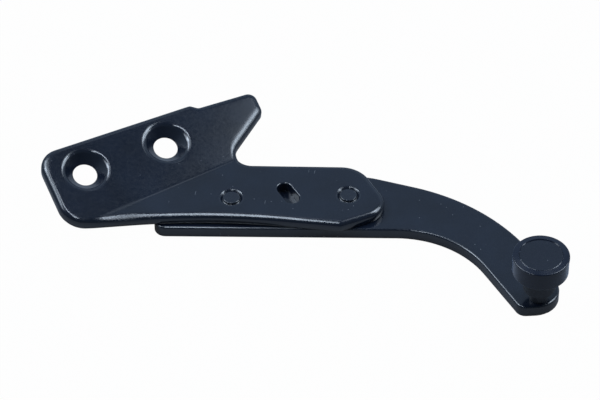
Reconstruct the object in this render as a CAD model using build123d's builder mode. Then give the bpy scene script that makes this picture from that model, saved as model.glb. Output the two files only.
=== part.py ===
from build123d import *
import os
from math import cos, pi, radians, sin

os.makedirs("parts", exist_ok=True)

# A guide roller for the lower rail of a sliding vehicle door.
# A flat steel arm carries a pressed bracket at one end, held by two rivets, and a
# ball-bearing roller on a riveted pin at the other. All sizes are in millimetres.
# The origin is the middle of the roller's tread, on the roller's axis, and +Z is up.
# X runs along the arm's straight front edge, and the bracket lies towards -X.

# Roller head
tyre_wall = 2.5
tread_run = 6.7
tread_edge_round = 0.4
rim_overhang = 0.15
rim_height = 1.2
rim_round = 0.4
ring_rise = 0.3
tyre_lip = 0.7
tyre_lip_overlap = 1.1
tyre_mouth_chamfer = 0.35

# Deep groove ball bearing inside the roller
bearing_bore = 6.0
bearing_outside = 17.0
bearing_width = 6.0
ball_diameter = 3.5
ball_count = 6
inner_ring_wall = 1.35
outer_ring_wall = 1.4
groove_radius = 1.85
ball_play = 0.04
ring_edge_chamfer = 0.25
shield_thickness = 0.3
shield_seat = 0.35
shield_seat_depth = 0.4
cage_band = 1.2
cage_thickness = 0.3
cage_play = 0.06
shield_gap = 0.35

# Cap and washer on top of the bearing
cap_thickness = 0.65
cap_recess = 0.3
cap_rim_wall = 0.6
cap_edge_chamfer = 0.15
washer_diameter = 8.4
washer_thickness = 0.6
peen_flare = 0.4

# Stepped pin
collar_diameter = 12.8
collar_height = 9.0
collar_gap = 0.4
collar_chamfer = 0.4
seat_diameter = 8.4
shank_diameter = 7.2
shank_height = 5.4
tenon_diameter = 6.2
tail_flare = 1.3
tail_sink_angle = 90.0
tail_recess = 0.1

# Clearances
fit = 0.02
seat_gap = 0.05

# Arm plate: edges are lines, each with a place and a direction
arm_thickness = 5.0
arm_front = 36.9
arm_width = 31.0
arm_end = 151.95
back_bend_x = -67.1
back_slope = -17.0
strip_angle = -59.9
strip_inner = 9.35
strip_outer = 11.0
tip_reach = 5.95
tip_slope = 4.5
arm_end_round = 4.5
fold_setback = 1.0
inner_sweep = 39.7
outer_sweep = 79.8
back_sweep = 31.9
tip_corner_round = 4.2
tip_round = 10.3
arm_top_round = 0.8
arm_bottom_round = 0.4

# Bracket sheet and its fold: the flange rises from the base along the crease.
# Places on the base are measured from the arm's front end corner: along X, then across.
sheet = 4.5
crease_place = (-22.15, 0.9)
crease_angle = 32.2
flange_angle = 18.0
fold_radius = 5.0
bracket_top_round = 2.2
bracket_bottom_round = 0.4

# Bracket base: corners in plan
back_overhang = 1.25
front_corner = (74.95, -2.1)
front_corner_round = 2.5
front_dip = (21.45, 3.7)
front_dip_round = 270.0
nose_corner = (96.15, 7.5)
nose_round = 9.6
shoulder_along = 82.05
shoulder_round = 12.7

# Bracket flange: corners along the crease and up from it
notch_corner = (58.8, 0.6)
notch_round = 6.9
ear_low_corner = (86.0, 16.4)
ear_low_round = 3.2
ear_top_corner = (87.25, 26.35)
ear_top_round = 3.7
step_low_corner = (62.5, 29.05)
step_low_round = 2.4
step_high_corner = (59.8, 31.5)
step_high_round = 2.5
end_back_corner = (-9.0, 36.5)
end_back_round = 8.7
end_front_corner = (-12.55, 3.55)
end_front_round = 11.1

# Countersunk screw holes in the flange, for M8 screws
screw_hole_diameter = 9.9
screw_sink_diameter = 18.2
screw_sink_angle = 90.0
screw_rim_round = 2.6
screw_hole_along = 6.3
screw_hole_up = 21.5
screw_hole_spacing = 36.0
screw_hole_line = -4.0

# Rivets and slot in the base
rivet_left_along = 30.65
rivet_left_share = 0.425
rivet_right_along = 77.45
rivet_right_share = 0.493
rivet_diameter = 6.9
rivet_sink_diameter = 9.4
rivet_sink_angle = 90.0
rivet_groove_depth = 0.9
rivet_head_diameter = 10.5
rivet_head_height = 1.6
rivet_head_recess = 0.1
rivet_disc_chamfer = 0.25
slot_along = 53.4
slot_share = 0.516
slot_length = 12.2
slot_width = 5.9
slot_angle = -59.5
slot_edge_round = 0.6

# Levels along the roller's axis
tyre_bottom = -tread_run / 2 - tread_edge_round
bearing_bottom = tyre_bottom + tyre_lip
bearing_middle = bearing_bottom + bearing_width / 2
bearing_top = bearing_bottom + bearing_width
washer_top = bearing_top + washer_thickness
rim_bottom = tread_run / 2
tyre_top = rim_bottom + rim_height
mouth_top = tyre_top + ring_rise
cap_top = mouth_top - cap_recess
cap_underside = cap_top - cap_thickness
collar_top = tyre_bottom - collar_gap
collar_bottom = collar_top - collar_height
arm_top = collar_bottom - shank_height
arm_bottom = arm_top - arm_thickness
bracket_top = arm_top + sheet

# Radii that follow from the sizes above
tread_diameter = bearing_outside + 2 * tyre_wall
bore_radius = bearing_bore / 2
bearing_radius = bearing_outside / 2
inner_shoulder = bore_radius + inner_ring_wall
outer_shoulder = bearing_radius - outer_ring_wall
ball_radius = ball_diameter / 2
pitch_radius = (inner_shoulder + outer_shoulder) / 2
cage_inner = pitch_radius - cage_band / 2
cage_outer = pitch_radius + cage_band / 2
shield_outer = outer_shoulder + shield_seat


def on_base(along, across):
    """A place on the base, given from the arm's front end corner, as seen from the roller's axis."""
    return along - arm_end, arm_front + across


# Places that follow from the arm: the rivets and the slot keep their share of its width
arm_back = arm_front + arm_width
crease_x, crease_y = on_base(*crease_place)
rivet_left = on_base(rivet_left_along, rivet_left_share * arm_width)
rivet_right = on_base(rivet_right_along, rivet_right_share * arm_width)
slot_centre = on_base(slot_along, slot_share * arm_width)


def meet(point_a, angle_a, point_b, angle_b):
    """The place where two lines cross, each given by a point and a direction in degrees."""
    ax, ay = point_a
    bx, by = point_b
    dax, day = cos(radians(angle_a)), sin(radians(angle_a))
    dbx, dby = cos(radians(angle_b)), sin(radians(angle_b))
    along = ((bx - ax) * dby - (by - ay) * dbx) / (dax * dby - day * dbx)
    return ax + along * dax, ay + along * day


# Arm plate
strip_x, strip_y = -sin(radians(strip_angle)), cos(radians(strip_angle))
inner_side = (-strip_inner * strip_x, -strip_inner * strip_y)
outer_side = (strip_outer * strip_x, strip_outer * strip_y)
back_bend = (back_bend_x, arm_back)
tip_corner = meet(inner_side, strip_angle, (0, -tip_reach), 0)
tip_outer = meet(tip_corner, tip_slope, outer_side, strip_angle)
# The arm's end is trimmed along the fold, so nothing reaches under the raised flange
fold_side = (
    crease_x + fold_setback * sin(radians(crease_angle)),
    crease_y - fold_setback * cos(radians(crease_angle)),
)
trim_low = meet((-arm_end, arm_front), 90, fold_side, crease_angle)
trim_high = meet((-arm_end, arm_back), 0, fold_side, crease_angle)
arm_corners = [
    ((-arm_end, arm_front), arm_end_round),
    (meet((-arm_end, arm_front), 0, inner_side, strip_angle), inner_sweep),
    (tip_corner, tip_corner_round),
    (tip_outer, tip_round),
    (meet(back_bend, back_slope, outer_side, strip_angle), outer_sweep),
    (back_bend, back_sweep),
    (trim_high, arm_end_round),
    (trim_low, arm_end_round),
]

with BuildPart() as arm_plate:
    with BuildSketch(Plane.XY.offset(arm_top)):
        with BuildLine():
            FilletPolyline(
                *[place for place, size in arm_corners],
                radius=[size for place, size in arm_corners],
                close=True,
            )
        make_face()
    extrude(amount=-arm_thickness)
    top_edges = arm_plate.faces().sort_by(Axis.Z)[-1].edges()
    bottom_edges = arm_plate.faces().sort_by(Axis.Z)[0].edges()
    fillet(top_edges, radius=arm_top_round)
    fillet(bottom_edges, radius=arm_bottom_round)
    with Locations(Plane(origin=(0, 0, arm_bottom), z_dir=(0, 0, -1))):
        CounterSinkHole(
            radius=tenon_diameter / 2 + fit,
            counter_sink_radius=tenon_diameter / 2 + tail_flare,
            counter_sink_angle=tail_sink_angle,
        )
    for centre in (rivet_left, rivet_right):
        with Locations(Plane(origin=(*centre, arm_bottom), z_dir=(0, 0, -1))):
            CounterBoreHole(
                radius=rivet_diameter / 2 + fit,
                counter_bore_radius=rivet_head_diameter / 2 + seat_gap,
                counter_bore_depth=rivet_head_height + rivet_head_recess,
            )
arm_plate.part.label = "arm_plate"
export_step(arm_plate.part, "parts/arm_plate.step")

# Mounting bracket: a folded slab, trimmed by one outline seen square to the fold
crease_plane = Plane(
    origin=(crease_x, crease_y, bracket_top),
    x_dir=(cos(radians(crease_angle)), sin(radians(crease_angle)), 0),
    z_dir=(0, 0, 1),
)
flange_plane = Plane(crease_plane.location * Rotation(flange_angle, 0, 0))
half_plane = Plane(crease_plane.location * Rotation(flange_angle / 2, 0, 0))
fold_squeeze = cos(radians(flange_angle / 2))


def base_corner(place):
    """A corner of the flat base, as seen square to the fold."""
    local = crease_plane.to_local_coords(Vector(*on_base(*place), bracket_top))
    return local.X, local.Y * fold_squeeze


def flange_corner(place):
    """A corner of the flange, given along and up from the crease, as seen square to the fold."""
    return place[0], place[1] * fold_squeeze


bracket_corners = [
    (base_corner(front_corner), front_corner_round),
    (base_corner(nose_corner), nose_round),
    (base_corner((shoulder_along, arm_width + back_overhang)), shoulder_round),
    (flange_corner(notch_corner), notch_round),
    (flange_corner(ear_low_corner), ear_low_round),
    (flange_corner(ear_top_corner), ear_top_round),
    (flange_corner(step_low_corner), step_low_round),
    (flange_corner(step_high_corner), step_high_round),
    (flange_corner(end_back_corner), end_back_round),
    (flange_corner(end_front_corner), end_front_round),
    (base_corner(front_dip), front_dip_round),
]
slab_reach = 160.0
fold_plane = Plane(
    origin=crease_plane.origin,
    x_dir=crease_plane.y_dir,
    z_dir=crease_plane.x_dir,
)
screw_hole_plane = Plane(
    flange_plane.location
    * Location((screw_hole_along, screw_hole_up, 0))
    * Rotation(0, 0, screw_hole_line)
)


def rim_edges(side_faces):
    """Edges that bound a group of smooth faces: those that only one face of the group has."""
    edges = side_faces.edges()
    return ShapeList(
        edge for edge in edges if sum(edge.is_same(other) for other in edges) == 1
    )


def faces_towards(part, direction):
    """Faces of a part that look along a direction, within the fold's own angle."""
    least = cos(radians(flange_angle))
    return part.faces().filter_by(lambda face: face.normal_at().dot(direction) > least)


with BuildPart() as mounting_bracket:
    with BuildSketch(fold_plane):
        with BuildLine():
            rise = (slab_reach * cos(radians(flange_angle)), slab_reach * sin(radians(flange_angle)))
            FilletPolyline((-slab_reach, 0), (0, 0), rise, radius=fold_radius)
            offset(amount=sheet, side=Side.RIGHT, mode=Mode.ADD)
        make_face()
    extrude(amount=slab_reach, both=True)
    with BuildSketch(half_plane):
        with BuildLine():
            FilletPolyline(
                *[place for place, size in bracket_corners],
                radius=[size for place, size in bracket_corners],
                close=True,
            )
        make_face()
    extrude(amount=slab_reach, both=True, mode=Mode.INTERSECT)
    fillet(rim_edges(faces_towards(mounting_bracket, half_plane.z_dir)), radius=bracket_top_round)
    fillet(rim_edges(faces_towards(mounting_bracket, -half_plane.z_dir)), radius=bracket_bottom_round)
    with Locations(screw_hole_plane):
        with Locations((0, 0), (screw_hole_spacing, 0)):
            CounterSinkHole(
                radius=screw_hole_diameter / 2,
                counter_sink_radius=screw_sink_diameter / 2,
                counter_sink_angle=screw_sink_angle,
            )
    sink_rims = mounting_bracket.edges().filter_by(
        lambda edge: edge.geom_type == GeomType.CIRCLE
        and abs(edge.radius - screw_sink_diameter / 2) < fit
        and edge.is_closed
    )
    fillet(sink_rims, radius=screw_rim_round)
    for centre in (rivet_left, rivet_right):
        with Locations(Plane(origin=(*centre, bracket_top))):
            CounterSinkHole(
                radius=rivet_diameter / 2 + fit,
                counter_sink_radius=rivet_sink_diameter / 2,
                counter_sink_angle=rivet_sink_angle,
            )
    with BuildSketch(Plane.XY.offset(bracket_top)):
        with Locations(slot_centre):
            SlotOverall(slot_length, slot_width, rotation=slot_angle)
    extrude(amount=-sheet, mode=Mode.SUBTRACT)
    slot_edges = mounting_bracket.edges(Select.LAST)
    slot_rim = slot_edges.filter_by_position(Axis.Z, bracket_top - fit, bracket_top + fit)
    fillet(slot_rim, radius=slot_edge_round)
mounting_bracket.part.label = "mounting_bracket"
export_step(mounting_bracket.part, "parts/mounting_bracket.step")

# Rivets: a flat head sunk in the arm, and an upset end with a ring groove in the bracket
sink_depth = (rivet_sink_diameter - rivet_diameter) / 2 - fit
for name, centre in (("bracket_rivet_left", rivet_left), ("bracket_rivet_right", rivet_right)):
    head_bottom = arm_bottom + rivet_head_recess
    head_top = head_bottom + rivet_head_height
    groove_floor = bracket_top - rivet_groove_depth
    shank = rivet_diameter / 2
    flare = shank + sink_depth - rivet_groove_depth
    with BuildPart() as rivet:
        with BuildSketch(Plane(origin=(*centre, 0), x_dir=(1, 0, 0), z_dir=(0, -1, 0))):
            with BuildLine():
                Polyline(
                    (0, head_bottom),
                    (rivet_head_diameter / 2, head_bottom),
                    (rivet_head_diameter / 2, head_top),
                    (shank, head_top),
                    (shank, bracket_top - sink_depth),
                    (flare, groove_floor),
                    (shank, groove_floor),
                    (shank, bracket_top),
                    (0, bracket_top),
                    close=True,
                )
            make_face()
        revolve(axis=Axis((*centre, 0), (0, 0, 1)))
        disc_edge = rivet.edges().filter_by(GeomType.CIRCLE).group_by(Axis.Z)[-1]
        chamfer(disc_edge, length=rivet_disc_chamfer)
    rivet.part.label = name
    export_step(rivet.part, f"parts/{name}.step")

# Roller pin: tenon riveted under the arm, thin shank, wide collar, seat and journal
with BuildPart() as roller_pin:
    tenon = tenon_diameter / 2
    tail_bottom = arm_bottom + tail_recess
    with BuildSketch(Plane.XZ):
        with BuildLine():
            Polyline(
                (0, tail_bottom),
                (tenon + tail_flare - tail_recess - fit, tail_bottom),
                (tenon, arm_bottom + tail_flare - fit),
                (tenon, arm_top),
                (shank_diameter / 2, arm_top),
                (shank_diameter / 2, collar_bottom),
                (collar_diameter / 2, collar_bottom),
                (collar_diameter / 2, collar_top),
                (seat_diameter / 2, collar_top),
                (seat_diameter / 2, bearing_bottom),
                (bore_radius, bearing_bottom),
                (bore_radius, washer_top - peen_flare),
                (bore_radius + peen_flare, washer_top),
                (0, washer_top),
                close=True,
            )
        make_face()
    revolve(axis=Axis.Z)
    collar_rims = roller_pin.edges().filter_by(
        lambda edge: edge.geom_type == GeomType.CIRCLE and edge.radius > collar_diameter / 2 - fit
    )
    chamfer(collar_rims, length=collar_chamfer)
roller_pin.part.label = "roller_pin"
export_step(roller_pin.part, "parts/roller_pin.step")

# Washer that the pin's end is peened over
with BuildPart() as pin_washer:
    with BuildSketch(Plane.XY.offset(bearing_top)):
        Circle(washer_diameter / 2)
        Circle(bore_radius + fit, mode=Mode.SUBTRACT)
    extrude(amount=washer_thickness)
    hole_rim = pin_washer.edges().filter_by(GeomType.CIRCLE).group_by(Axis.Z)[-1].sort_by(SortBy.RADIUS)[0]
    chamfer(hole_rim, length=peen_flare)
pin_washer.part.label = "pin_washer"
export_step(pin_washer.part, "parts/pin_washer.step")

# Roller tyre: a moulded sleeve with a lip under the bearing and a proud rim on top, whose
# face rises towards the cap
with BuildPart() as roller_tyre:
    tread = tread_diameter / 2
    rim = tread + rim_overhang
    with BuildSketch(Plane.XZ):
        with BuildLine():
            Polyline(
                (bearing_radius - tyre_lip_overlap, tyre_bottom),
                (tread, tyre_bottom),
                (tread, rim_bottom),
                (rim, rim_bottom),
                (rim, tyre_top),
                (bearing_radius + fit, mouth_top),
                (bearing_radius + fit, bearing_bottom),
                (bearing_radius - tyre_lip_overlap, bearing_bottom),
                close=True,
            )
        make_face()
    revolve(axis=Axis.Z)
    circles = roller_tyre.edges().filter_by(GeomType.CIRCLE)
    outer_edges = circles.filter_by(lambda edge: edge.radius > tread - fit)
    fillet(outer_edges.sort_by(Axis.Z)[0], radius=tread_edge_round)
    fillet(outer_edges.sort_by(Axis.Z)[-1], radius=rim_round)
    chamfer(circles.sort_by(Axis.Z)[-1], length=tyre_mouth_chamfer)
roller_tyre.part.label = "roller_tyre"
export_step(roller_tyre.part, "parts/roller_tyre.step")

# Roller cap: a shallow cup that stands on the bearing's outer ring
with BuildPart() as roller_cap:
    with BuildSketch(Plane.XY.offset(bearing_top)):
        Circle(bearing_radius)
    extrude(amount=cap_top - bearing_top)
    chamfer(roller_cap.edges().group_by(Axis.Z)[-1], length=cap_edge_chamfer)
    with BuildSketch(Plane.XY.offset(bearing_top)):
        Circle(bearing_radius - cap_rim_wall)
    extrude(amount=cap_underside - bearing_top, mode=Mode.SUBTRACT)
roller_cap.part.label = "roller_cap"
export_step(roller_cap.part, "parts/roller_cap.step")

# Bearing rings: a wall with a rounded ball groove, turned about the roller's axis
groove_offset = ball_radius + ball_play - groove_radius
with BuildPart() as bearing_inner_ring:
    with BuildSketch(Plane.XZ):
        with Locations((bore_radius + fit, bearing_bottom)):
            Rectangle(inner_ring_wall - fit, bearing_width, align=(Align.MIN, Align.MIN))
        chamfer(vertices().group_by(Axis.X)[0], length=ring_edge_chamfer)
        with Locations((pitch_radius - groove_offset, bearing_middle)):
            Circle(groove_radius, mode=Mode.SUBTRACT)
    revolve(axis=Axis.Z)
bearing_inner_ring.part.label = "bearing_inner_ring"
export_step(bearing_inner_ring.part, "parts/bearing_inner_ring.step")

with BuildPart() as bearing_outer_ring:
    with BuildSketch(Plane.XZ):
        with Locations((outer_shoulder, bearing_bottom)):
            Rectangle(outer_ring_wall, bearing_width, align=(Align.MIN, Align.MIN))
        chamfer(vertices().group_by(Axis.X)[-1], length=ring_edge_chamfer)
        with Locations((pitch_radius + groove_offset, bearing_middle)):
            Circle(groove_radius, mode=Mode.SUBTRACT)
        for face_level, towards in ((bearing_bottom, Align.MIN), (bearing_top, Align.MAX)):
            with Locations((outer_shoulder, face_level)):
                Rectangle(shield_seat, shield_seat_depth, align=(Align.MIN, towards), mode=Mode.SUBTRACT)
    revolve(axis=Axis.Z)
bearing_outer_ring.part.label = "bearing_outer_ring"
export_step(bearing_outer_ring.part, "parts/bearing_outer_ring.step")

# Shields: thin discs pressed in the outer ring, clear of the inner ring
lower_shield_level = bearing_bottom + shield_seat_depth - shield_thickness
upper_shield_level = bearing_top - shield_seat_depth
for name, level in (
    ("bearing_shield_lower", lower_shield_level),
    ("bearing_shield_upper", upper_shield_level),
):
    with BuildPart() as shield:
        with BuildSketch(Plane.XY.offset(level)):
            Circle(shield_outer - fit)
            Circle(inner_shoulder + shield_gap, mode=Mode.SUBTRACT)
        extrude(amount=shield_thickness)
    shield.part.label = name
    export_step(shield.part, f"parts/{name}.step")

# Cage: two ribbon halves, each bulging round its side of every ball
pocket = ball_radius + cage_play
for name, side in (("cage_half_lower", -1), ("cage_half_upper", 1)):
    with BuildPart() as cage_half:
        with BuildSketch(Plane.XY.offset(bearing_middle)):
            Circle(cage_outer)
            Circle(cage_inner, mode=Mode.SUBTRACT)
        extrude(amount=side * cage_thickness)
        with Locations((0, 0, bearing_middle)):
            with PolarLocations(pitch_radius, ball_count):
                Sphere(pocket + cage_thickness)
        with BuildSketch(Plane.XY.offset(bearing_middle)):
            Circle(cage_outer)
            Circle(cage_inner, mode=Mode.SUBTRACT)
        extrude(amount=side * bearing_width / 2, mode=Mode.INTERSECT)
        with Locations((0, 0, bearing_middle)):
            with PolarLocations(pitch_radius, ball_count):
                Sphere(pocket, mode=Mode.SUBTRACT)
    cage_half.part.label = name
    export_step(cage_half.part, f"parts/{name}.step")

# Balls, one node each, evenly spaced round the pitch circle
for index in range(ball_count):
    turn = 2 * pi * index / ball_count
    name = f"ball_{index + 1}"
    with BuildPart() as ball:
        with Locations((pitch_radius * cos(turn), pitch_radius * sin(turn), bearing_middle)):
            Sphere(ball_radius)
    ball.part.label = name
    export_step(ball.part, f"parts/{name}.step")
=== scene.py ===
# %% [markdown]
# # A sliding door roller guide in Blender
# The guide is a pressed steel arm that carries a small roller at its tip, with a folded
# bracket riveted on top. The metal shapes come from the CAD model, so this lesson is about
# everything that the CAD model doesn't hold: black coatings, a moulded tyre, bearing steel,
# wear, a camera and soft studio light.

# %% Load the CAD model as a fixed frame
import bpy
from math import cos, pi, radians, sin
from mathutils import Matrix, Vector


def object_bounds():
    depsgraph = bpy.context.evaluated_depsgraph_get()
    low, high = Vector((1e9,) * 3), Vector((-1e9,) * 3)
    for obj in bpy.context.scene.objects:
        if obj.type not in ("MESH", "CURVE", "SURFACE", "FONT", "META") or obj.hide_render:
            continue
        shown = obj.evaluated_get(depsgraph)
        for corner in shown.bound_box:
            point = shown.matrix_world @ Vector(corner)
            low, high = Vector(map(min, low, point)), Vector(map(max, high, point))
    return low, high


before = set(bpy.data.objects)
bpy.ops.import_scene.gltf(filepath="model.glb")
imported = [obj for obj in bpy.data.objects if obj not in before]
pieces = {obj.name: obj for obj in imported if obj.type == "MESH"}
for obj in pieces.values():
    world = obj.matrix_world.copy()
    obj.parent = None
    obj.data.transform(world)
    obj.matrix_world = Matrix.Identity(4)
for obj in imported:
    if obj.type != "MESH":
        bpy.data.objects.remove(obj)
cad_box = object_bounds()
bpy.ops.object.select_all(action="DESELECT")

# %% [markdown]
# ## Units and colours
# Sizes on such a part are read off a drawing in millimetres, and Blender works in metres, so
# one small helper turns a real length into metres and another into the scale of a pattern.
# Colours are picked on a screen as sRGB, and shaders want linear light, so a third one
# turns a hex value into the numbers that a socket takes. A noise texture seldom leaves
# the middle of its range, so the span that it does use has a name too.

# %% Lengths, pattern scales and colours
def mm(length):
    return length / 1000


def per(length):
    """The scale of a noise or cell pattern whose features are that many millimetres wide."""
    return 1 / mm(length)


def linear(colour):
    """An sRGB hex colour as linear red, green, blue and a full alpha."""
    shares = [int(colour[i:i + 2], 16) / 255 for i in (1, 3, 5)]
    return [s / 12.92 if s <= 0.04045 else ((s + 0.055) / 1.055) ** 2.4 for s in shares] + [1]


noise_low, noise_high = 0.3, 0.7
print("a near-black in linear light:", [round(v, 4) for v in linear("#111824")])


# %% [markdown]
# ## One helper for every node
# A material is a tree of small nodes. Clicking it together is a matter of three moves: add a
# node, set its options, join its sockets. The helper does these three at once, so a finish
# reads as a list of what it is made of.

# %% A helper that adds a node
def add(tree, kind, sockets=None, **options):
    """Adds one node: options are its settings, sockets its inputs as values or as links."""
    made = tree.nodes.new(kind)
    for name, value in options.items():
        setattr(made, name, value)
    for name, value in (sockets or {}).items():
        if isinstance(value, bpy.types.NodeSocket):
            tree.links.new(value, made.inputs[name])
        else:
            made.inputs[name].default_value = value
    return made


def new_finish(name):
    """An empty material and its output node."""
    finish = bpy.data.materials.new(name)
    finish.use_nodes = True
    finish.node_tree.nodes.clear()
    return finish, add(finish.node_tree, "ShaderNodeOutputMaterial")


# %% [markdown]
# ## What the coated steel shows
# The arm and the bracket are dipped in a bath, plated with black electrocoat by a current
# and baked. Three things give such a coat away: it pulls thin on sharp edges and wears
# grey there, it flows into a faint orange peel, and handling leaves specks and hair
# scratches. Edges, specks and scratches are masks of their own, so a finish can have more
# or less of each, and the peel is a bump that comes with the coat.

# %% Masks for edges, specks and scratches
def edge_mask(tree, reach, none, full):
    """0 on a flat and 1 where the surface turns within reach mm, so on a rounded edge.
    none and full are the turns that give 0 and 1, as 1 minus the cosine."""
    soft = add(tree, "ShaderNodeBevel", {"Radius": mm(reach)}, samples=6)
    true = add(tree, "ShaderNodeNewGeometry")
    same = add(tree, "ShaderNodeVectorMath",
               {0: soft.outputs["Normal"], 1: true.outputs["Normal"]}, operation="DOT_PRODUCT")
    return add(tree, "ShaderNodeMapRange",
               {"Value": same.outputs["Value"], "From Min": 1 - none, "From Max": 1 - full},
               clamp=True).outputs["Result"]


def speck_mask(tree, place, spacing, size, share):
    """Small round specks, one in each cell of the pattern and only in a share of the cells.
    spacing is the size of a cell and size the speck's width, in mm."""
    cells = add(tree, "ShaderNodeTexVoronoi", {"Vector": place, "Scale": per(spacing)})
    dot = add(tree, "ShaderNodeMath",
              {0: cells.outputs["Distance"], 1: size / 2 / spacing}, operation="LESS_THAN")
    lot = add(tree, "ShaderNodeSeparateColor", {"Color": cells.outputs["Color"]})
    kept = add(tree, "ShaderNodeMath", {0: lot.outputs["Red"], 1: share}, operation="LESS_THAN")
    return add(tree, "ShaderNodeMath",
               {0: dot.outputs["Value"], 1: kept.outputs["Value"]},
               operation="MULTIPLY").outputs["Value"]


def scratch_mask(tree, place, angle, spacing, length, width, share):
    """Thin straight marks in one direction: the speck pattern, squeezed across the scratch."""
    turned = add(tree, "ShaderNodeMapping",
                 {"Vector": place, "Rotation": (0, 0, radians(angle)),
                  "Scale": (1, width / length, 1)},
                 vector_type="TEXTURE")
    return speck_mask(tree, turned.outputs["Vector"], spacing, length, share)


print("masks ready: edges, specks, scratches")


# %% [markdown]
# ## Where the steel shows through
# The three masks are added up into one: how bare the surface is. On edges a finer noise
# breaks the wear into patches, because nothing rubs evenly. The specks are drawn 0.4 mm
# wide and the scratches 0.2 mm wide, coarser than most real ones, so that they still show.

# %% Add the wear up
def bare_spots(tree, place, grain):
    """How far the coat is worn off, from 0 to 1. grain is a fine noise that makes it patchy."""
    edges = edge_mask(tree, reach=0.5, none=0.02, full=0.2)
    patch_edge = 0.6
    patchy = add(tree, "ShaderNodeMapRange",
                 {"Value": grain, "From Min": patch_edge, "From Max": noise_high})
    worn = add(tree, "ShaderNodeMath", {0: edges, 1: patchy.outputs["Result"]},
               operation="MULTIPLY")
    specks = speck_mask(tree, place, spacing=2.2, size=0.42, share=0.16)
    scratches = scratch_mask(tree, place, angle=80, spacing=7, length=2.2, width=0.22, share=0.014)
    marks = add(tree, "ShaderNodeMath", {0: specks, 1: scratches}, operation="MAXIMUM")
    return add(tree, "ShaderNodeMath",
               {0: worn.outputs["Value"], 1: marks.outputs["Value"]},
               operation="MAXIMUM").outputs["Value"]


# %% [markdown]
# ## Black electrocoat on pressed steel
# An epoxy film of about 0.02 mm with no metal of its own. It isn't pure black but a cool
# near-black, cloudy over a centimetre or two, and the light areas that the eye sees on it
# are reflections. Its gloss started at a resin's refractive index of 1.52 and a roughness
# of 0.3. Matched to the object it became 1.65 and about 0.17: a smooth, deep gloss.
# A press also rolls an edge over a little before it ends. The Bevel node turns the light
# there and leaves the CAD mesh as it is, so an edge catches a soft band, not a hard line.
# Three noises give the rest: clouds in the colour, a grain that leads gloss and wear, and
# the ripple of the orange peel.

# %% Build the coating
def electrocoat(name, colours, gloss, peel, wear, roll_over):
    """Black baked electrocoat. colours are (dark, light), gloss is (smooth, rough), peel the
    orange peel's height in mm, wear how grey a bare spot gets, and roll_over how far in from
    an edge the surface begins to turn, in mm."""
    dark, light = colours
    smooth, rough = gloss
    cloud_size, grain_size, ripple_size = 16, 1.4, 1.1
    finish, out = new_finish(name)
    tree = finish.node_tree
    place = add(tree, "ShaderNodeTexCoord").outputs["Object"]
    cloud = add(tree, "ShaderNodeTexNoise",
                {"Vector": place, "Scale": per(cloud_size), "Detail": 4})
    film = add(tree, "ShaderNodeMix",
               {"Factor": cloud.outputs["Fac"], "A": linear(dark), "B": linear(light)},
               data_type="RGBA")
    grain = add(tree, "ShaderNodeTexNoise",
                {"Vector": place, "Scale": per(grain_size), "Detail": 4})
    bare = bare_spots(tree, place, grain.outputs["Fac"])
    faded = add(tree, "ShaderNodeMath", {0: bare, 1: wear}, operation="MULTIPLY")
    colour = add(tree, "ShaderNodeMix",
                 {"Factor": faded.outputs["Value"], "A": film.outputs["Result"],
                  "B": linear("#8d9197")},
                 data_type="RGBA")
    satin = add(tree, "ShaderNodeMapRange",
                {"Value": grain.outputs["Fac"], "From Min": noise_low, "From Max": noise_high,
                 "To Min": smooth, "To Max": rough})
    ripple = add(tree, "ShaderNodeTexNoise",
                 {"Vector": place, "Scale": per(ripple_size), "Detail": 1})
    rolled = add(tree, "ShaderNodeBevel", {"Radius": mm(roll_over)}, name="roll_over", samples=8)
    skin = add(tree, "ShaderNodeBump", {"Height": ripple.outputs["Fac"], "Distance": mm(peel),
                                        "Normal": rolled.outputs["Normal"]})
    shader = add(tree, "ShaderNodeBsdfPrincipled",
                 {"Base Color": colour.outputs["Result"], "Roughness": satin.outputs["Result"],
                  "Normal": skin.outputs["Normal"], "IOR": 1.65})
    tree.links.new(shader.outputs["BSDF"], out.inputs["Surface"])
    return finish


print("coating ready: film, wear, peel and rolled edges")


# %% [markdown]
# ## Five steels, five coats
# The same bath coats everything, and the steel under it makes the difference: rolled plate
# keeps a fine ripple, a rivet's upset end is hammered rough, and the turned pin is nearly
# matt, because its coat lies over tool marks. Each coat has a dark and a light tone.

# %% Mix the coats
arm_coat = electrocoat("electrocoat_on_plate_steel", ("#060a13", "#171f2d"),
                       gloss=(0.15, 0.2), peel=0.012, wear=0.3, roll_over=0.8)
bracket_coat = electrocoat("electrocoat_on_pressed_steel", ("#070b14", "#161e2c"),
                           gloss=(0.14, 0.19), peel=0.006, wear=0.25, roll_over=1.2)
rivet_coat = electrocoat("electrocoat_on_rivet_steel", ("#10151f", "#161d29"),
                         gloss=(0.2, 0.28), peel=0.015, wear=0.2, roll_over=0.3)
pin_coat = electrocoat("electrocoat_on_turned_steel", ("#0b101a", "#101621"),
                       gloss=(0.55, 0.65), peel=0.004, wear=0.3, roll_over=0.4)
cap_coat = electrocoat("electrocoat_on_stamped_cap", ("#0d121d", "#121926"),
                       gloss=(0.15, 0.2), peel=0.006, wear=0.3, roll_over=0.3)
coats = (arm_coat, bracket_coat, rivet_coat, pin_coat, cap_coat)
print("coatings:", [coat.name for coat in coats])

# %% [markdown]
# ## Where the edge rolls wider, and where it is crisp
# At the bracket's front left corner the fold meets the rim, and the press rolls a far
# wider edge there, which shines as a broad soft patch. The ear's edge beside the notch and
# the left end's back corner are drawn wide too. The two sinks and the slot are cut, not
# drawn, so their edges stay crisp. The radius of the roll-over is therefore led by the
# distance to these six spots, one after the other, and starts from the value that the
# rest of the bracket keeps.

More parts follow.
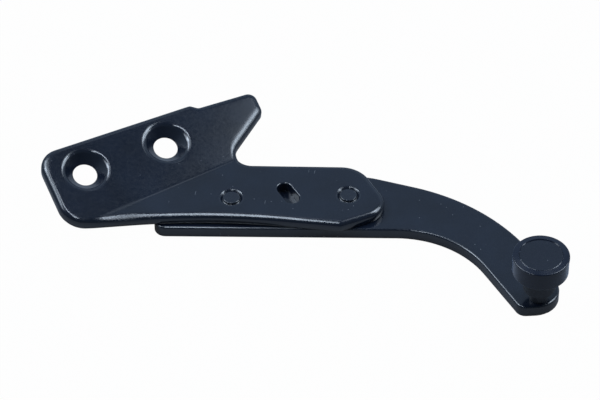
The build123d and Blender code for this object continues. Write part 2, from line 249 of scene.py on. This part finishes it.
# %% Lead the roll-over by place
def roll_near(tree, place, spot, near, far, radius, beyond):
    """The roll-over's radius near one spot: radius up to near mm away, beyond from far mm on."""
    away = add(tree, "ShaderNodeVectorMath",
               {0: place, 1: tuple(mm(v) for v in spot)}, operation="DISTANCE")
    return add(tree, "ShaderNodeMapRange",
               {"Value": away.outputs["Value"], "From Min": mm(near), "From Max": mm(far),
                "To Min": mm(radius), "To Max": beyond}).outputs["Result"]


# Each spot's place, the two distances and its radius, all in mm
rolled_spots = {
    "front_left_corner": ((-163, 40, -14), 3, 14, 4.5),
    "ear": ((-115, 88, -11), 8, 14, 3.2),
    "left_end": ((-196, 61, -6), 3, 8, 3.2),
    "end_sink": ((-180, 59, -8), 9.5, 11.5, 0.5),
    "middle_sink": ((-148, 76, -8), 9.5, 11.5, 0.5),
    "slot": ((-99, 53, -14), 7, 9, 0.3),
}
tree = bracket_coat.node_tree
place = add(tree, "ShaderNodeTexCoord").outputs["Object"]
turning = tree.nodes["roll_over"].inputs["Radius"]
roll = turning.default_value
for spot, near, far, radius in rolled_spots.values():
    roll = roll_near(tree, place, spot, near, far, radius, roll)
tree.links.new(roll, turning)
print("roll-over led by", list(rolled_spots))


# %% [markdown]
# ## Moulded black polyamide
# The tyre is injection moulded. Polyamide has a refractive index of about 1.5 and takes a
# fine grain from the mould, with a cloudy sheen where the melt flowed round the ring. Its
# roughness started at 0.4 and was matched to 0.18. Running leaves a thin haze of scuffs
# and dust on it, which lightens its flanks where the eye meets them at a flat angle: that
# is what Sheen does.

# %% Build the polyamide
def polyamide(name):
    """Moulded polyamide with a fine grain and rubbing marks round the tread. The marks are a
    noise that is stretched across the roller's axis, so it reads as rings."""
    cloud_size, line_spacing, grain_size, grain_height = 4, 0.5, 0.3, 0.006
    smooth, rough = 0.15, 0.22
    stretch = 12.5
    finish, out = new_finish(name)
    tree = finish.node_tree
    place = add(tree, "ShaderNodeTexCoord").outputs["Object"]
    cloud = add(tree, "ShaderNodeTexNoise",
                {"Vector": place, "Scale": per(cloud_size), "Detail": 3})
    colour = add(tree, "ShaderNodeMix",
                 {"Factor": cloud.outputs["Fac"], "A": linear("#0a111e"), "B": linear("#121a2a")},
                 data_type="RGBA")
    rubbed = add(tree, "ShaderNodeMapping",
                 {"Vector": place, "Scale": (1 / stretch, 1 / stretch, 1)})
    lines = add(tree, "ShaderNodeTexNoise",
                {"Vector": rubbed.outputs["Vector"], "Scale": per(line_spacing), "Detail": 2})
    silk = add(tree, "ShaderNodeMapRange",
               {"Value": lines.outputs["Fac"], "From Min": noise_low, "From Max": noise_high,
                "To Min": smooth, "To Max": rough})
    grain = add(tree, "ShaderNodeTexNoise",
                {"Vector": place, "Scale": per(grain_size), "Detail": 2})
    skin = add(tree, "ShaderNodeBump",
               {"Height": grain.outputs["Fac"], "Distance": mm(grain_height)})
    shader = add(tree, "ShaderNodeBsdfPrincipled",
                 {"Base Color": colour.outputs["Result"], "Roughness": silk.outputs["Result"],
                  "Normal": skin.outputs["Normal"], "IOR": 1.5, "Sheen Weight": 0.4,
                  "Sheen Roughness": 0.3, "Sheen Tint": linear("#c3d2f0")})
    tree.links.new(shader.outputs["BSDF"], out.inputs["Surface"])
    return finish


tyre_plastic = polyamide("polyamide_moulded_black")
print("plastic:", tyre_plastic.name)


# %% [markdown]
# ## Bearing steel
# Rings, balls, cage and shields are bare steel under the cap. They share one recipe: a
# metal, so its colour is its reflection, with the marks of how it was made. A ground ring
# has fine lines round its axis, a ball is lapped to a mirror, a pressed cage is duller.
# The lines are a noise stretched across the axis, drawn coarser than real ones.

# %% Build the steels
def bare_steel(name, colours, gloss, line_spacing, line_height):
    """Bare steel. colours are (light, dark), gloss is (smooth, rough), and the spacing and
    height of its grinding or turning lines are in mm."""
    light, dark = colours
    smooth, rough = gloss
    cloud_size = 2.5
    stretch = 10
    finish, out = new_finish(name)
    tree = finish.node_tree
    place = add(tree, "ShaderNodeTexCoord").outputs["Object"]
    cloud = add(tree, "ShaderNodeTexNoise",
                {"Vector": place, "Scale": per(cloud_size), "Detail": 2})
    tint = add(tree, "ShaderNodeMix",
               {"Factor": cloud.outputs["Fac"], "A": linear(light), "B": linear(dark)},
               data_type="RGBA")
    stretched = add(tree, "ShaderNodeMapping",
                    {"Vector": place, "Scale": (1 / stretch, 1 / stretch, 1)})
    lines = add(tree, "ShaderNodeTexNoise",
                {"Vector": stretched.outputs["Vector"], "Scale": per(line_spacing), "Detail": 2})
    sheen = add(tree, "ShaderNodeMapRange",
                {"Value": lines.outputs["Fac"], "From Min": noise_low, "From Max": noise_high,
                 "To Min": smooth, "To Max": rough})
    skin = add(tree, "ShaderNodeBump",
               {"Height": lines.outputs["Fac"], "Distance": mm(line_height)})
    shader = add(tree, "ShaderNodeBsdfPrincipled",
                 {"Base Color": tint.outputs["Result"], "Metallic": 1.0,
                  "Roughness": sheen.outputs["Result"], "Normal": skin.outputs["Normal"]})
    tree.links.new(shader.outputs["BSDF"], out.inputs["Surface"])
    return finish


ring_steel = bare_steel("bearing_steel_ground", ("#a9abae", "#8f9296"),
                        gloss=(0.16, 0.26), line_spacing=0.3, line_height=0.002)
ball_steel = bare_steel("bearing_steel_lapped", ("#b4b6b9", "#a3a6aa"),
                        gloss=(0.06, 0.1), line_spacing=0.6, line_height=0.0005)
cage_steel = bare_steel("strip_steel_pressed", ("#8e9093", "#75787c"),
                        gloss=(0.28, 0.4), line_spacing=0.5, line_height=0.003)
shield_steel = bare_steel("strip_steel_blanked", ("#989a9d", "#7f8286"),
                          gloss=(0.24, 0.36), line_spacing=0.4, line_height=0.003)
washer_steel = bare_steel("washer_steel_tumbled", ("#85878a", "#6b6e72"),
                          gloss=(0.3, 0.45), line_spacing=0.7, line_height=0.004)
steels = (ring_steel, ball_steel, cage_steel, shield_steel, washer_steel)
print("steels:", [steel.name for steel in steels])

# %% [markdown]
# ## Dressing the CAD pieces
# Every solid keeps its CAD shape, and only the material in its slot changes. A small table
# of piece and finish is easier to check than twenty assignments.

# %% Give each piece its finish
finish_of = {
    "arm_plate": arm_coat, "mounting_bracket": bracket_coat,
    "bracket_rivet_left": rivet_coat, "bracket_rivet_right": rivet_coat,
    "roller_pin": pin_coat, "pin_washer": washer_steel,
    "roller_tyre": tyre_plastic, "roller_cap": cap_coat,
    "bearing_inner_ring": ring_steel, "bearing_outer_ring": ring_steel,
    "bearing_shield_lower": shield_steel, "bearing_shield_upper": shield_steel,
    "cage_half_lower": cage_steel, "cage_half_upper": cage_steel,
}
finish_of.update({name: ball_steel for name in pieces if name.startswith("ball_")})
for name, piece in pieces.items():
    for slot in piece.material_slots:
        slot.material = finish_of[name]
print("dressed:", len(finish_of))

# %% [markdown]
# ## The camera
# The photograph is taken from in front and well above, with a long lens: parallel edges
# stay almost parallel. The camera is therefore built from three directions, its right, its
# up and its line of sight, and stands about 1.35 m away with a 210 mm lens.

# %% Place the camera
sight_down, sight_turn = radians(43.9), radians(0.75)
stand = Vector((-0.0806, -0.9598, 0.9567))
lens_length, film_width = 210, 36
view_depth = 20
to_right = Vector((cos(sight_turn), sin(sight_turn), 0))
forward = Vector((-sin(sight_turn), cos(sight_turn), 0))
sight = forward * cos(sight_down) - Vector((0, 0, sin(sight_down)))
up = forward * sin(sight_down) + Vector((0, 0, cos(sight_down)))
camera = bpy.data.objects.new("camera", bpy.data.cameras.new("camera"))
bpy.context.scene.collection.objects.link(camera)
camera.data.lens = lens_length
camera.data.sensor_width = film_width
camera.data.clip_end = view_depth
turn = Matrix((to_right, up, -sight)).transposed().to_4x4()
camera.matrix_world = Matrix.Translation(stand) @ turn
bpy.context.scene.camera = camera
print("camera at", [round(v, 3) for v in stand])

# %% [markdown]
# ## The floor
# The object stands on white, but white paper under a glossy black part would mirror in
# every wall and flank and turn them grey. So the paper is a cool mid grey to all light,
# a tenth whiter to mirrors, and white to the camera: Light Path tells them apart. A small
# share of its own colour stays in what the camera sees, and with it the shadow. The plane
# lies a hair below the part, so that no face of the two coincides.

# %% Build the floor
def white_where_seen(tree, seen_share, mirrored_share):
    """The share of plain white that the camera sees and that mirrors see, 0 for other light."""
    ray = add(tree, "ShaderNodeLightPath").outputs
    seen = add(tree, "ShaderNodeMath",
               {0: ray["Is Camera Ray"], 1: seen_share}, operation="MULTIPLY")
    mirrored = add(tree, "ShaderNodeMath",
                   {0: ray["Is Glossy Ray"], 1: mirrored_share}, operation="MULTIPLY")
    return add(tree, "ShaderNodeMath",
               {0: seen.outputs["Value"], 1: mirrored.outputs["Value"]},
               operation="MAXIMUM").outputs["Value"]


white = linear("#ffffff")
floor_width = 6
gap_below = mm(0.05)
floor_finish, floor_out = new_finish("studio_paper_cool_grey")
tree = floor_finish.node_tree
paper = add(tree, "ShaderNodeBsdfDiffuse", {"Color": linear("#767d86")})
glow = add(tree, "ShaderNodeEmission", {"Color": white, "Strength": 1.0})
white_share = white_where_seen(tree, seen_share=0.985, mirrored_share=0.1)
both = add(tree, "ShaderNodeMixShader",
           {0: white_share, 1: paper.outputs["BSDF"], 2: glow.outputs["Emission"]})
tree.links.new(both.outputs["Shader"], floor_out.inputs["Surface"])
bpy.ops.mesh.primitive_plane_add(size=floor_width, location=(0, 0, cad_box[0].z - gap_below))
floor = bpy.context.object
floor.name = "floor"
floor.data.materials.append(floor_finish)
print("floor at", round(floor.location.z, 5))

# %% [markdown]
# ## The room
# A flat black face is as light as the part of the room that it mirrors. Seen from the
# camera the level faces mirror the back of the room, halfway up, and the walls of the
# part mirror the floor. So the room is brightest there, and dims towards the ceiling, the
# front and the floor. Its light is a pale blue, as the object shows it, and the camera
# itself sees plain white.

# %% Light the room
room_colour = (0.6, 0.78, 1.0, 1)
# Each fade's axis of the direction, where it starts and ends, and the light at both ends
fades = {
    "ceiling": ("Z", (0.5, 0.95), (0.62, 0.1)),
    "front": ("Y", (-0.6, 0.5), (0.25, 1.0)),
    "floor": ("Z", (0.0, 0.5), (0.3, 1.0)),
}
world = bpy.data.worlds.new("studio")
bpy.context.scene.world = world
world.use_nodes = True
tree = world.node_tree
tree.nodes.clear()
towards = add(tree, "ShaderNodeTexCoord").outputs["Generated"]
parts = add(tree, "ShaderNodeSeparateXYZ", {"Vector": towards}).outputs
strength = 1.0
for axis, (start, end), (start_light, end_light) in fades.values():
    fade = add(tree, "ShaderNodeMapRange",
               {"Value": parts[axis], "From Min": start, "From Max": end,
                "To Min": start_light, "To Max": end_light})
    strength = add(tree, "ShaderNodeMath",
                   {0: strength, 1: fade.outputs["Result"]}, operation="MULTIPLY").outputs["Value"]
room = add(tree, "ShaderNodeBackground", {"Color": room_colour, "Strength": strength})
seen = add(tree, "ShaderNodeBackground", {"Color": white, "Strength": 1.0})
ray = add(tree, "ShaderNodeLightPath").outputs
sky = add(tree, "ShaderNodeMixShader",
          {0: ray["Is Camera Ray"], 1: room.outputs["Background"], 2: seen.outputs["Background"]})
add(tree, "ShaderNodeOutputWorld", {"Surface": sky.outputs["Shader"]})
bpy.context.scene.view_settings.view_transform = "Standard"
print("room fades towards", list(fades))

# %% [markdown]
# ## The lamps
# The rims and the screw sinks turn away from the flat faces, so each of them mirrors
# another part of the studio, and that is where its lamp hangs: soft boxes at the sides
# for the left and right rims, a narrow strip overhead for the front rims, and panels
# closer to the zenith for the soft gradients beside the rims and round the sinks.
# Small bright lamps draw those lines, and together they give about the light of a plain
# studio. No box is lower than 30 degrees, so that the flat faces stay black from the side.

# %% A lamp between two places
middle = (Vector(cad_box[0]) + Vector(cad_box[1])) / 2
lamp_colour = (0.74, 0.86, 1.0)


def strip_light(name, start, end, width, brightness):
    """A long area light that faces the part. start and end are places in metres from the
    part's middle, and brightness is how many times brighter than white paper it looks."""
    start, end = Vector(start), Vector(end)
    along = (end - start).normalized()
    away = (start + end) / 2
    away = (away - along * away.dot(along)).normalized()
    across = away.cross(along)
    lamp = bpy.data.objects.new(name, bpy.data.lights.new(name, "AREA"))
    bpy.context.scene.collection.objects.link(lamp)
    lamp.data.shape = "RECTANGLE"
    lamp.data.size, lamp.data.size_y = (end - start).length, width
    lamp.data.energy = brightness * pi * lamp.data.size * width
    lamp.data.color = lamp_colour
    lamp.matrix_world = (Matrix.Translation(middle + (start + end) / 2)
                         @ Matrix((along, across, away)).transposed().to_4x4())


print("lamps are hung from", [round(v, 3) for v in middle])


# %% Hang the lamps
# Each lamp's two ends and width in metres, and its brightness
lamps = {
    "box_right": ((0.74, -0.10, 0.50), (0.74, 0.36, 0.50), 0.22, 5.5),
    "box_left": ((-0.58, -0.02, 0.66), (-0.58, 0.16, 0.66), 0.26, 10),
    "box_front_left": ((-0.58, -0.22, 0.66), (-0.58, -0.02, 0.66), 0.26, 4),
    "box_left_corner": ((-0.50, 0.18, 0.62), (-0.50, 0.44, 0.62), 0.20, 9),
    "strip_overhead": ((-0.066, -0.28, 0.50), (-0.066, 0.10, 0.50), 0.04, 14),
    "panel_left_end": ((-0.34, 0.01, 0.60), (-0.34, 0.15, 0.60), 0.20, 10),
    "panel_left": ((-0.32, 0.17, 0.60), (-0.32, 0.40, 0.60), 0.20, 3),
    "panel_near_left": ((-0.14, 0.02, 0.60), (-0.14, 0.24, 0.60), 0.12, 2.5),
    "panel_right": ((0.21, 0.07, 0.60), (0.21, 0.29, 0.60), 0.12, 2.4),
    "panel_ear": ((0.41, 0.02, 0.60), (0.41, 0.17, 0.60), 0.26, 11),
    "panel_holes": ((0.41, 0.19, 0.60), (0.41, 0.33, 0.60), 0.26, 9),
    "panel_behind": ((-0.06, 0.39, 0.60), (0.05, 0.38, 0.60), 0.10, 1),
}
for name, (start, end, width, brightness) in lamps.items():
    strip_light(name, start, end, width, brightness)
print("lamps:", list(lamps))
